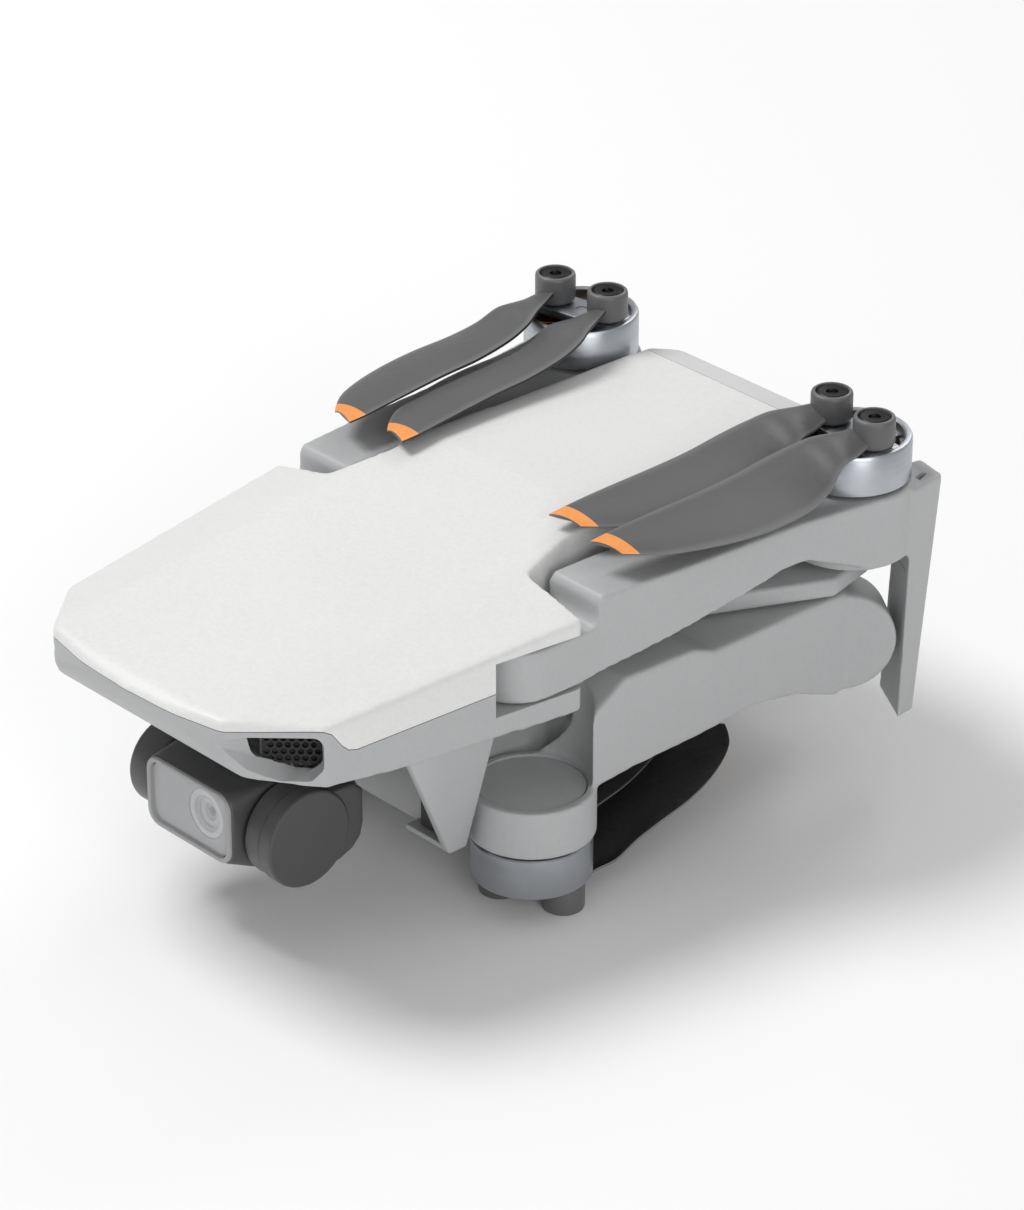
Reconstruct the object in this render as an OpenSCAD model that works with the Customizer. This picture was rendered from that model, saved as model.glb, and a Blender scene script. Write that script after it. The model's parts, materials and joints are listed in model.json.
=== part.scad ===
// Foldable camera quadcopter, stored with its arms and propellers folded.
// The nose points along -Y, the drone's left side is +X, and +Z is up.
// Modules work from a datum in the middle of the body; seat() then puts the origin on the ground
// under the middle of the folded drone.

/* [Body] */
// Distance from the middle of the top plate to its side crease
crease_x = 20.6; // [20:0.2:21]
// Highest point of the top plate above the datum
top_z = 23.6; // [23:0.1:24]
// Underside of the belly below the datum
belly_z = -21; // [-21.4:0.1:-20.8]
// Wall thickness of the mouldings
wall = 1.4; // [1.2:0.1:1.6]

/* [Motors] */
// Outer diameter of a motor bell
bell_d = 19.2; // [18.8:0.1:19.4]
// Height of a motor bell
bell_h = 7; // [6.8:0.1:7.2]
// Outer diameter of the cup that carries a motor
cup_d = 20.3; // [20:0.1:20.6]

/* [Propellers] */
// Distance from a blade's pivot to its tip
blade_len = 53.4; // [50:0.1:53.6]
// Distance from the motor's axis to a blade's pivot
pivot_r = 5.54; // [5.4:0.01:5.6]
// Thickness of a blade
blade_t = 0.9; // [0.8:0.1:1.1]

/* [Front arms] */
// Sideways place of the front arm's upright hinge
front_hinge_x = 28.4; // [28.2:0.1:28.6]
// Height of the front arm's root between the shells
root_h = 8.6; // [8.4:0.1:8.7]

/* [Camera] */
// Diameter of the tilt motor and its end cap
tilt_d = 16; // [15.6:0.1:16.2]
// Width of the camera's front window
window_w = 18.4; // [18:0.1:18.6]
// Height of the camera's front window
window_h = 10.6; // [10.2:0.1:10.8]

/* [Hidden] */
$fn = 64;
far = 200;

// Colours
top_grey = "#e4e4e4";
side_grey = "#b4b5b6";
blade_grey = "#5c5d5f";
bell_grey = "#a3acb4";
dark = "#3a3b3d";
black = "#17181a";
board_green = "#1f5a3a";

// Body
nose_y = -78.4;
tail_y = 59;
shoulder_y = -17.9;
shoulder_x = 36;
neck_x = 21;
ramp = 6.1;              // rise of the top plate towards the tail, degrees
slope_drop = 3.7;        // fall of the side slope from crease to shoulder
seam_rear_z = 9;
cover_y = 48.3;

// Front arm: hinge, motor and fold
front_hinge = [front_hinge_x, -25];
front_motor = [31.5, 44];
slot_bottom = 6.2;
slot_top = 15.4;
slot_front = -36.4;      // where the shell's block around the slot begins
arm_open = 105;          // how far the arm swings from folded, degrees
root_r = 7;
pin_r = 1.5;
pin_fit = 0.05;
front_cup_z = [7.9, 20.2];
front_bell_z = 20.7;
front_turn = -8.4;       // turn of the two blade pivots about the motor

// Rear arm: hinge axis, motor and fold
rear_pivot = [31, 42.6, -7];
rear_axis_turn = -33.7;  // direction of the level hinge axis, degrees from +X
hub_r = 8.6;
rear_motor = [27.1, -20.4];
rear_cup_z = [-21.4, -13.2];
rear_bell_z = -21.9;
rear_turn = 21.2;

// Rotor details
post_h = 4.4;
barrel_r = 3.4;
barrel_h = 5.1;
bar_t = 1.6;

// Blade outline: [distance from pivot, leading edge, trailing edge, leading height, trailing height]
// Heights are measured from the open face of the bell.
blade_rows = [
    [2.6, -1.8, 2.0, 2.8, 1.4],
    [5.5, -2.6, 3.0, 2.6, 0.9],
    [9.5, -3.8, 4.6, 2.4, 0.7],
    [13, -4.6, 6.4, 1.5, -1.4],
    [18, -4.8, 8.2, 0.5, -2.7],
    [25, -4.1, 9.6, -0.5, -3.1],
    [32, -3.2, 9.9, -0.9, -3.2],
    [39, -2.6, 9.2, -1.3, -3.1],
    [45, -2.1, 7.8, -1.7, -3.0],
    [50, -1.6, 5.8, -2.1, -2.9],
    [1, -1.0, 4.2, -2.3, -2.9]
];
tip_rake = 2.4;          // how far the tip's trailing corner is cut back

// Battery bay
bay_x = 15.4;
bay_y = [-28.6, 57.2];
bay_z = [-19.8, 6.4];
bay_out_x = 16.4;
tail_x = 20.8;
door_axis = [56.4, -19.2];

// Camera
cam_y = -57.3;
cam_z = -13.1;
window_y = -67;
window_z = -11.8;
lens_x = 3.4;
lens_z = -11.3;

// From the datum to the origin on the ground
datum_y = -(nose_y + tail_y) / 2;
datum_z = bell_h + barrel_h - rear_bell_z;

module seat() translate([0, datum_y, datum_z]) children();
module both() {
    children();
    mirror([1, 0, 0]) children();
}
module left_or_right(side) {
    if (side > 0) children();
    else mirror([1, 0, 0]) children();
}
// Extrudes a [y, z] outline from x0 to x1
module along_x(x0, x1) translate([x0, 0, 0]) rotate([90, 0, 90]) linear_extrude(x1 - x0) children();
module box(a, b) translate(a) cube(b - a);
module rod(r, z0, z1) translate([0, 0, z0]) cylinder(r = r, h = z1 - z0);

// ---------- body ----------

function plan_half(i) = [
    [0, nose_y + i], [11, nose_y + 0.7 + i], [20.2 - i * 0.6, -75.9 + i], [30.7 - i, -64.9 + i * 0.6],
    [shoulder_x - i, shoulder_y - i], [23.4 - i, shoulder_y - i], [neck_x - i, -8], [neck_x - i, 50],
    [17 - i, 57.2 - i], [9 - i, tail_y - 0.5 - i], [0, tail_y - i]
];
module body_plan(i) {
    half = plan_half(i);
    other = [for (k = [len(half) - 2:-1:1]) [-half[k][0], half[k][1]]];
    polygon(concat(half, other));
}
module body_sides(i) polygon([
    [nose_y + i, -40], [nose_y + i, 14.2 - i], [-76 + i, 15.5 - i], [-60, 17.2 - i], [0, top_z - i],
    [cover_y, top_z - 0.7 - i], [54 - i, 21.8 - i], [57.6 - i, 18.6 - i], [tail_y - i, 12], [tail_y - i, -40]
]);
module body_cross(i) {
    half = neck_x + 19;
    edge = slope_drop / (shoulder_x - crease_x) * (half - crease_x);
    translate([0, 0, top_z - i]) rotate([ramp, 0, 0]) translate([0, 100, 0]) rotate([90, 0, 0])
        linear_extrude(200) polygon([
            [-half, -80], [half, -80], [half, -edge], [crease_x - i, 0], [i - crease_x, 0], [-half, -edge]
        ]);
}
// The whole body's outer form, shrunk inwards by i
module body_block(i) intersection() {
    translate([0, 0, -60]) linear_extrude(100) body_plan(i);
    along_x(-40, 40) body_sides(i);
    body_cross(i);
}
// Everything above the seam between the two shells
module above_seam() along_x(-40, 40) polygon([
    [-90, 13.5], [-66, 13.9], [-63.6, 13.2], [-60.6, 9.8], [-59.2, 9.2],
    [slot_front, 10.4], [slot_front, slot_top], [shoulder_y, slot_top], [shoulder_y, seam_rear_z],
    [cover_y, seam_rear_z], [cover_y, 60], [-90, 60]
]);
module hinge_pocket() translate([front_hinge[0], front_hinge[1], 0]) {
    rod(root_r + 0.6, slot_bottom, slot_top);
    // the front wall slopes forwards as far as the open arm leans past square
    front = -root_r - 0.6;
    translate([0, 0, slot_bottom]) linear_extrude(slot_top - slot_bottom)
        polygon([[0, front], [20, front - 20 * tan(arm_open - 90)], [20, 20], [0, 20]]);
    box([-4.6, 0, slot_bottom], [20, 20, slot_top]);
}
module hinge_region() box([19.6, slot_front, -10], [40, shoulder_y, 40]);
module pin_bores(r) both() translate([front_hinge[0], front_hinge[1], 0]) rod(r, 3.4, 18.4);

module upper_shell() {
    color(top_grey) seat() difference() {
        intersection() {
            above_seam();
            union() {
                difference() {
                    body_block(0);
                    body_block(wall);
                }
                intersection() {
                    body_block(0);
                    both() hinge_region();
                }
            }
        }
        pin_bores(pin_r + 0.02);
        both() hinge_pocket();
    }
}

module rear_cover() {
    color("#cbccce") seat() intersection() {
        difference() {
            body_block(0);
            body_block(wall);
        }
        difference() {
            box([-40, cover_y + 0.15, seam_rear_z], [40, 80, 60]);
            box([-4.8, 55, 10.3], [4.8, 62, 14.1]);
            box([5.4, 54, 10.3], [13.8, 62, 12.7]);
            box([-7.1, 55, 14.9], [7.1, 62, 17.1]);
        }
    }
}

// Lower shell: nose tray, side cheeks, battery bay and the rear arms' brackets
module tray_sides(i) polygon([
    [nose_y + i, 13.8], [-76.2 + i, 9.4], [-73.4 + i, 5.6 + i], [-66, 4.2 + i], [-50, 2.7 + i],
    [shoulder_y - i, 2 + i], [shoulder_y - i, 30], [nose_y + i, 30]
]);
module tray(i) intersection() {
    body_block(i);
    along_x(-40, 40) tray_sides(i);
}
module below_seam() difference() {
    box([-40, -90, -30], [40, shoulder_y, 15.3]);
    translate([0, 0, -0.15]) above_seam();
}
// A side wall under the body, leaning in towards the belly
module cheek() {
    top_x = 32;
    low_x = 25;
    hull() {
        box([top_x - wall, -49.4, 2.6], [top_x, -32, 3.6]);
        box([low_x - wall, -35.6, belly_z], [low_x, -32, belly_z + 1]);
    }
    box([14.6, -35.6, belly_z], [low_x - wall, -32, belly_z + 1]);
    box([bay_out_x - 1, -33, belly_z], [low_x - 1, -31.8, -0.2]);
}
module at_intake() translate([25.45, -70.4, 9.5]) rotate([0, 0, 46.3]) children();
module intake_hole() at_intake() box([-5.8, -2, -2.9], [5.8, 2.2, 2.9]);
module wing() translate([0, 0, 2.9]) linear_extrude(3.3)
    polygon([[tail_x - 1, 12], [27, 15], [36.6, 36], [34, 46.6], [tail_x - 1, 46.6]]);
// The rear arm's fixed hinge block between the body and the hub
module hinge_boss(r) translate(rear_pivot) rotate([0, 0, rear_axis_turn]) rotate([0, 90, 0])
    rod(r, -13, -3.8);
module bay_block() {
    box([-bay_out_x, -33, belly_z], [bay_out_x, -7, seam_rear_z - 0.15]);
    box([-tail_x, -8, belly_z], [tail_x, cover_y, seam_rear_z - 0.15]);
    intersection() {
        box([-tail_x, cover_y - 1, belly_z], [tail_x, 58.4, seam_rear_z - 0.15]);
        translate([0, 0, -30]) linear_extrude(60) body_plan(0.1);
    }
}
module bay_hollow() {
    box([-bay_x, bay_y[0], bay_z[0]], [bay_x, 70, bay_z[1]]);
    both() box([bay_out_x, -6.6, bay_z[0]], [tail_x - 1.2, 47, bay_z[1] + 1.2]);
}
module door_room() {
    box([-12.2, 54.6, belly_z - 1], [12.2, 70, -17.2]);
    box([-17.1, 55.4, -17.4], [17.1, 70, 7.2]);
}
module lower_shell() {
    color(side_grey) seat() difference() {
        union() {
            difference() {
                intersection() {
                    below_seam();
                    tray(0);
                }
                difference() {
                    tray(wall);
                    both() hinge_region();
                }
            }
            both() cheek();
            bay_block();
            both() wing();
            both() hinge_boss(4.2);
            both() board_posts();
        }
        bay_hollow();
        both() hinge_pocket();
        pin_bores(pin_r + 0.02);
        both() intake_hole();
        both() hinge_boss(1.62);
        door_room();
        box([-14, -60, 1], [14, -36, 5.4]);
        door_bore(0.62);
        belly_cut();
        // a gap in the cross wall, for the main board and the heat sink
        box([-17, shoulder_y - 2, seam_rear_z - 0.15], [17, shoulder_y + 1, 16]);
        both() shell_screw_bores();
    }
}
module board_posts() {
    translate([16, 2, 0]) rod(1.5, 8, 11);
    translate([16, 38, 0]) rod(1.5, 8, 11);
    translate([15.4, -46.6, 0]) rod(1.3, 2.8, 11);
}
module door_bore(r) translate([0, door_axis[0], door_axis[1]]) rotate([0, 90, 0]) rod(r, -15, 15);

// Belly cover: a plate let into the underside, with the sensor openings
cover_x = 14.6;
cover_low_y = [-31, 50];
module belly_cut() box([-cover_x - 0.1, cover_low_y[0] - 0.1, belly_z - 1],
    [cover_x + 0.1, cover_low_y[1] + 0.1, belly_z + 1.3]);
button_at = [0, 36];
module at_button() translate([button_at[0], button_at[1], 0]) children();
module sensor_places() for (y = [-22, -4]) translate([0, y, 0]) children();
module belly_cover() {
    color(side_grey) seat() difference() {
        box([-cover_x, cover_low_y[0], belly_z], [cover_x, cover_low_y[1], belly_z + 1.1]);
        at_button() rod(3.3, belly_z - 1, 0);
        sensor_places() rod(2.6, belly_z - 1, 0);
        box([-4.1, -16.1, belly_z - 1], [4.1, -9.9, 0]);
        for (k = [-1.5:1:1.5]) translate([k * 4.4, 27, 0]) rod(0.8, belly_z - 1, 0);
        for (k = [0:5]) box([-9, 3 + k * 3, belly_z - 1], [9, 4.4 + k * 3, 0]);
    }
}
module vision_lenses() {
    color(black) seat() sensor_places() rod(2.5, belly_z + 0.1, belly_z + 1.1);
}
module infrared_window() {
    color(black) seat() box([-4, -16, belly_z + 0.1], [4, -10, belly_z + 1.1]);
}
module battery_lights() {
    color("#dfe9e4") seat() for (k = [-1.5:1:1.5]) translate([k * 4.4, 27, 0])
        rod(0.75, belly_z + 0.05, belly_z + 1.1);
}
module power_button() {
    color(side_grey) seat() at_button() {
        rod(3.2, belly_z - 0.1, belly_z + 1.2);
        rod(3.9, belly_z + 1.2, belly_z + 1.7);
    }
}

module intake_grilles() {
    color(black) seat() both() at_intake() translate([0, 2.5, 0.3]) rotate([90, 0, 0]) linear_extrude(0.8)
        difference() {
            square([10.2, 4.2], center = true);
            for (r = [-1:1], c = [-3:3])
                translate([c * 1.44 + (r % 2 == 0 ? 0 : 0.72), r * 1.3]) circle(d = 1.15, $fn = 6);
        }
}
screw_places = [[15.5, -64, 3.9], [15.5, -42, 2]];
module shell_screw_bores() for (p = screw_places) translate([p[0], p[1], 0]) rod(0.9, -5, 8);
module shell_screws() {
    color("silver") seat() both() for (p = screw_places) translate(p) rod(0.85, 0.2, 5);
}

// ---------- inside the body ----------

module main_board() {
    color(board_green) seat() {
        box([-13, -50, 11], [13, 44, 12]);
        box([-16.8, -48.4, 11], [16.8, -44.8, 12]);
        box([-19, -8, 11], [19, 44, 12]);
    }
}
module heat_sink() {
    color("silver") seat() {
        box([-11, -18, 12], [11, 10, 13]);
        for (k = [-4:4]) box([k * 2.4 - 0.4, -18, 13], [k * 2.4 + 0.4, 10, 15.6]);
    }
}
module gps_module() {
    color("#c9b68a") seat() {
        box([-9, 20, 12], [9, 38, 17]);
    }
}
fan_at = [0, -32, 13.2];
module fan_housing() {
    color(black) seat() translate(fan_at) difference() {
        union() {
            rod(8.4, -1.2, 4);
            box([-8.4, 0, -1.2], [0, 12, 4]);
        }
        rod(7.4, -0.4, 3.2);
        rod(4, 3, 5);
        box([-7.4, 0, -0.4], [-3, 13, 3.2]);
        rod(0.6, -2, 0);
    }
}
module fan_impeller() {
    color(dark) seat() translate(fan_at) {
        rod(0.55, -1, 2.6);
        rod(3, 0, 2.4);
        for (k = [0:8]) rotate([0, 0, k * 40]) box([2.8, -0.3, 0.2], [6.8, 0.3, 2.4]);
    }
}
module battery_pack() {
    color("#4a4b4e") seat() difference() {
        box([-15, -27, -18.4], [15, 55, 6]);
        for (k = [-2:2]) box([k * 4 - 0.7, -27.5, -8], [k * 4 + 0.7, -24.6, -3]);
    }
}
module battery_terminals() {
    color("gold") seat() for (k = [-2:2]) box([k * 4 - 0.4, -28.6, -7.6], [k * 4 + 0.4, -25, -3.4]);
}
module usb_port() {
    color("silver") seat() difference() {
        box([-4.5, 50.6, 10.6], [4.5, 58, 13.8]);
        box([-4, 52, 11.1], [4, 59, 13.3]);
    }
}
module card_slot() {
    color("silver") seat() difference() {
        box([5.6, 48, 10.6], [13.6, 57, 12.4]);
        box([6, 49.4, 11], [13.2, 58, 12]);
    }
}
module status_lamp() {
    color("#eef3ee") seat() box([-7, 57, 15], [7, 57.9, 17]);
}

// ---------- battery door ----------

module battery_door() {
    color(side_grey) seat() difference() {
        union() {
            box([-16.9, 55.6, -17.2], [16.9, 57.2, 7]);
            box([-11.9, 55.6, -19.2], [11.9, 57.2, -17]);
            translate([0, door_axis[0], door_axis[1]]) rotate([0, 90, 0]) rod(1.5, -11.9, 11.9);
            box([-4, 57, 1.5], [4, 58, 4.5]);
        }
        door_bore(0.6);
    }
}
module door_hinge_pin() {
    color("silver") seat() door_bore(0.55);
}

// ---------- gimbal and camera ----------

module gimbal_plate() {
    color(dark) seat() difference() {
        box([-13, -50, 0.4], [13, -37, 1.6]);
        translate([0, -43, 0]) rod(1.05, -1, 3);
        for (x = [-9, 9], y = [-47, -40]) translate([x, y, 0]) rod(1.1, -1, 3);
    }
}
module rubber_dampers() {
    color(black) seat() for (x = [-9, 9], y = [-47, -40]) translate([x, y, 0]) {
        rod(1.05, 0.2, 2.2);
        rod(1.9, -1, 0.3);
        rod(1.9, 1.7, 2.4);
    }
}
module yaw_arm() {
    color(dark) seat() translate([0, -43, 0]) {
        rod(1, -1, 3);
        rod(6.4, -4.2, -0.4);
        difference() {
            box([-4, -2, -12], [4, 4, -4]);
            translate([0, 0, cam_z]) rotate([90, 0, 0]) rod(5.4, -5, 3);
        }
    }
}
module roll_motor() {
    color(dark) seat() translate([0, -43, cam_z]) rotate([90, 0, 0]) {
        rod(5.4, -4, 2.2);
        rod(1, 2, 4.6);
    }
}
// Arm that carries the camera: a back plate behind the camera and a side plate to the tilt motor
module roll_arm() {
    color(dark) seat() difference() {
        union() {
            box([-6, -48.6, cam_z - 6], [17.2, -46.2, cam_z + 6]);
            box([11.4, cam_y, cam_z - 6.6], [17.2, -46.2, cam_z + 6]);
            translate([0, cam_y, cam_z]) rotate([0, 90, 0]) rod(tilt_d / 2 - 0.2, 11.4, 15);
        }
        translate([0, -43, cam_z]) rotate([90, 0, 0]) rod(1.05, 0, 6);
        translate([0, cam_y, cam_z]) rotate([0, 90, 0]) rod(1.55, 10, 14);
        // the tilt motor's seat
        translate([0, cam_y, cam_z]) rotate([0, 90, 0]) rod(tilt_d / 2, 15, 20);
    }
}
module tilt_motor() {
    color(dark) seat() translate([0, cam_y, cam_z]) rotate([0, 90, 0]) rod(tilt_d / 2, 15, 17.6);
}
module camera_housing() {
    color(dark) seat() translate([0, cam_y, cam_z]) {
        difference() {
            hull() {
                rotate([0, 90, 0]) rod(tilt_d / 2 - 0.4, -10.6, 10.6);
                for (x = [-1, 1], z = [-1, 1])
                    translate([x * (window_w / 2 - 1.4), window_y - cam_y + 2, window_z - cam_z])
                        translate([0, 0, z * (window_h / 2 - 1.4)])
                            rotate([90, 0, 0]) cylinder(r = 2, h = 1.4, $fn = 32);
            }
            translate([lens_x, window_y - cam_y + 8, lens_z - cam_z]) rotate([90, 0, 0]) rod(4.3, 0, 9);
            translate([0, window_y - cam_y + 1.6, window_z - cam_z]) rotate([90, 0, 0]) linear_extrude(3)
                square([window_w + 0.2, window_h + 0.2], center = true);
        }
        rotate([0, 90, 0]) rod(1.5, 10.4, 13.6);
        rotate([0, -90, 0]) rod(tilt_d / 2 - 0.6, 11.2, 17.4);
        rotate([0, -90, 0]) rod(5, 10.4, 11.4);
    }
}
module lens_window() {
    color("#9a9ca0") seat() translate([0, window_y + 1.6, window_z]) rotate([90, 0, 0]) linear_extrude(1.2)
        square([window_w, window_h], center = true);
}
module lens_barrel() {
    color(black) seat() translate([lens_x, window_y + 7.8, lens_z]) rotate([90, 0, 0]) {
        rod(4.2, 0, 3);
        rod(3.4, 3, 6);
    }
}

// ---------- arms ----------

// Front arm as drawn for the left side
module front_arm_plan() polygon([
    [front_hinge[0] - 4.4, front_hinge[1]], [front_hinge[0] + root_r, front_hinge[1]],
    [front_hinge[0] + root_r, front_hinge[1] + 11], [37, 0], [38.6, 26],
    [front_motor[0] + cup_d / 2 - 0.6, 40], [front_motor[0], 44], [24, 38], [24.6, 8], [24, -14]
]);
module front_arm_sides() polygon([
    [-26, 6.5], [shoulder_y, 6.5], [-6.5, 8], [5.6, 9.9], [18, 12], [23, 13.2], [27.5, 13.2], [34, 10.6],
    [40, 8.2], [46, front_cup_z[0]], [46, front_cup_z[1]], [-13.4, front_cup_z[1]], [-14.2, 19],
    [-14.2, 16.4], [-15, 15.1], [-26, 15.1]
]);
module leg() {
    low = [[31.4, 52.4], [41, 46.9], [40.5, 50.9], [32.2, 55]];
    high = [[33.4, 53], [41.5, 48.2], [40.2, 56], [34, 57.4]];
    hull() {
        translate([0, 0, -21.4]) linear_extrude(0.6) polygon(low);
        translate([0, 0, 12]) linear_extrude(7.6) polygon(high);
    }
}
module front_arm() difference() {
    union() {
        translate([front_hinge[0], front_hinge[1], 0]) rod(root_r, 6.5, 15.1);
        intersection() {
            linear_extrude(30) front_arm_plan();
            along_x(0, 60) front_arm_sides();
        }
        translate([front_motor[0], front_motor[1], 0]) rod(cup_d / 2, front_cup_z[0], front_cup_z[1]);
        leg();
    }
    translate([front_hinge[0], front_hinge[1], 0]) rod(pin_r + pin_fit, 0, 20);
    translate([front_motor[0], front_motor[1], 0]) rod(7.8, front_cup_z[1] - 1, 30);
    leg_cover_shape(0.1);
}
// A thin cover let into the leg's wide front face
module leg_cover_shape(c) translate([41.2, 47.5, 0]) rotate([0, 0, 150.2]) translate([0, 0, -19.4])
    box([1.2 - c, -1, -c], [8 + c, 0.1 + c, 24 + c]);
module leg_cover() intersection() {
    leg();
    leg_cover_shape(0);
}
module stator(at, z0) translate([at[0], at[1], z0]) difference() {
    union() {
        rod(7.6, -0.9, 0.8);
        for (k = [0:8]) rotate([0, 0, k * 40]) box([1.5, -0.8, 0.8], [7.4, 0.8, 4.6]);
        rod(2.6, 0, 4.8);
    }
    rod(1.05, -2, 6);
}
// Motor bell, open face up, its lower rim at z = 0
module bell_shape() difference() {
    union() {
        difference() {
            rod(bell_d / 2, 0, bell_h);
            rod(bell_d / 2 - 1.2, -1, bell_h + 1);
        }
        intersection() {
            rod(bell_d / 2 - 0.6, bell_h - bar_t, bell_h);
            box([-12, -3.6, 0], [12, 3.6, bell_h]);
        }
        rod(1, 0.2, bell_h);
    }
    for (x = [-pivot_r, pivot_r]) translate([x, 0, 0]) rod(1.02, bell_h - bar_t - 1, bell_h + 1);
}
module blade_pins_shape() for (x = [-pivot_r, pivot_r]) translate([x, 0, bell_h]) {
    rod(1, -bar_t, 0);
    rod(pin_r, 0, post_h);
    rod(2.5, post_h, post_h + 0.6);
}
// A blade about its own pivot, pointing along -Y, with its broad edge towards +X
function row_point(k) = let (r = blade_rows[k]) r[0] < blade_rows[0][0] ? blade_len : r[0];
function rake(k) = k == len(blade_rows) - 1 ? tip_rake : 0;
function ring(k) = let (r = blade_rows[k], y = -row_point(k), m = (r[1] + r[2]) / 2, h = (r[3] + r[4]) / 2)
    [
        [r[1], y, r[3]], [m, y + rake(k) / 2, h + 0.5], [r[2], y + rake(k), r[4]],
        [r[2], y + rake(k), r[4] - blade_t * 0.5], [m, y + rake(k) / 2, h + 0.5 - blade_t],
        [r[1], y, r[3] - blade_t * 0.7]
    ];
module blade_skin() {
    n = len(blade_rows);
    points = [for (k = [0:n - 1]) each ring(k)];
    faces = concat(
        [[5, 1, 0], [5, 4, 1], [4, 2, 1], [4, 3, 2]],
        [for (f = [[0, 1, 5], [1, 4, 5], [1, 2, 4], [2, 3, 4]]) [for (i = f) (n - 1) * 6 + i]],
        [for (k = [0:n - 2], i = [0:5]) let (a = k * 6 + i, b = k * 6 + (i + 1) % 6)
            each [[a, b + 6, a + 6], [a, b, b + 6]]]
    );
    polyhedron(points, faces);
}
module blade_shape() difference() {
    union() {
        rod(barrel_r, 0.2, barrel_h);
        blade_skin();
    }
    rod(pin_r + pin_fit, -1, barrel_h + 1);
    rod(2.7, post_h - 0.05, barrel_h + 1);
}
// Places a rotor: front ones stand on the arm, rear ones hang under it
module front_rotor() translate([front_motor[0], front_motor[1], front_bell_z])
    rotate([0, 0, front_turn]) children();
module rear_rotor() translate([rear_motor[0], rear_motor[1], rear_bell_z])
    rotate([0, 0, rear_turn]) rotate([180, 0, 0]) children();
module blade_at(x) translate([x, 0, bell_h]) blade_shape();

// Rear arm as drawn for the left side
module rear_arm_plan() polygon([
    [26, -16], [35, -16], [36, 10], [35.6, 30], [36, 39], [28, 44.3], [25.6, 36], [25.4, 0]
]);
module rear_arm_sides() polygon([
    [-16, -13.6], [-5.7, -12.5], [7.2, -11.8], [19.3, -10.9], [29.4, -12.8], [38, -16], [46, -12],
    [46, -2], [40, 2.2], [24, 2.3], [10.5, 2.3], [6, 4], [-8, 4], [-14, 0], [-16, -4]
]);
module rear_hub(r, t0, t1) translate(rear_pivot) rotate([0, 0, rear_axis_turn]) rotate([0, 90, 0])
    rod(r, t0, t1);
module rear_arm() difference() {
    union() {
        rear_hub(hub_r, -3.4, 5.8);
        intersection() {
            translate([0, 0, -20]) linear_extrude(30) rear_arm_plan();
            along_x(0, 60) rear_arm_sides();
        }
        translate([rear_motor[0], rear_motor[1], 0]) rod(cup_d / 2, rear_cup_z[0], rear_cup_z[1]);
        hull() {
            box([26, -17, -13.4], [35, -15, 0]);
            box([23, -15, -15], [33, -12, -13]);
        }
    }
    rear_hub(pin_r + pin_fit, -12, 4.4);
    translate([rear_motor[0], rear_motor[1], 0]) rod(7.8, -30, rear_cup_z[0] + 1);
    translate([rear_motor[0], rear_motor[1], 0]) rod(8.9, rear_cup_z[1] - 0.8, rear_cup_z[1] + 1);
}
module rear_stator() translate([rear_motor[0], rear_motor[1], rear_bell_z])
    rotate([180, 0, 0]) stator([0, 0], 0);

module front_hinge_pins() {
    color("silver") seat() pin_bores(pin_r);
}
module rear_hinge_pins() {
    color("silver") seat() both() rear_hub(pin_r, -9.2, 4.2);
}

module front_left_arm() { color(side_grey) seat() front_arm(); }
module front_left_leg_cover() { color(side_grey) seat() leg_cover(); }
module front_left_stator() { color("#b87333") seat() stator(front_motor, front_bell_z); }
module front_left_bell() { color(bell_grey) seat() front_rotor() bell_shape(); }
module front_left_blade_pins() { color(black) seat() front_rotor() blade_pins_shape(); }
module front_left_blade_a() { color(blade_grey) seat() front_rotor() blade_at(pivot_r); }
module front_left_blade_b() { color(blade_grey) seat() front_rotor() blade_at(-pivot_r); }

module front_right_arm() { color(side_grey) seat() mirror([1, 0, 0]) front_arm(); }
module front_right_leg_cover() { color(side_grey) seat() mirror([1, 0, 0]) leg_cover(); }
module front_right_stator() { color("#b87333") seat() mirror([1, 0, 0]) stator(front_motor, front_bell_z); }
module front_right_bell() { color(bell_grey) seat() mirror([1, 0, 0]) front_rotor() bell_shape(); }
module front_right_blade_pins() { color(black) seat() mirror([1, 0, 0]) front_rotor() blade_pins_shape(); }
module front_right_blade_a() { color(blade_grey) seat() mirror([1, 0, 0]) front_rotor() blade_at(pivot_r); }
module front_right_blade_b() { color(blade_grey) seat() mirror([1, 0, 0]) front_rotor() blade_at(-pivot_r); }

module rear_left_arm() { color(side_grey) seat() rear_arm(); }
module rear_left_stator() { color("#b87333") seat() rear_stator(); }
module rear_left_bell() { color(bell_grey) seat() rear_rotor() bell_shape(); }
module rear_left_blade_pins() { color(black) seat() rear_rotor() blade_pins_shape(); }
module rear_left_blade_a() { color(blade_grey) seat() rear_rotor() blade_at(pivot_r); }
module rear_left_blade_b() { color(blade_grey) seat() rear_rotor() blade_at(-pivot_r); }

module rear_right_arm() { color(side_grey) seat() mirror([1, 0, 0]) rear_arm(); }
module rear_right_stator() { color("#b87333") seat() mirror([1, 0, 0]) rear_stator(); }
module rear_right_bell() { color(bell_grey) seat() mirror([1, 0, 0]) rear_rotor() bell_shape(); }
module rear_right_blade_pins() { color(black) seat() mirror([1, 0, 0]) rear_rotor() blade_pins_shape(); }
module rear_right_blade_a() { color(blade_grey) seat() mirror([1, 0, 0]) rear_rotor() blade_at(pivot_r); }
module rear_right_blade_b() { color(blade_grey) seat() mirror([1, 0, 0]) rear_rotor() blade_at(-pivot_r); }

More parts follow.
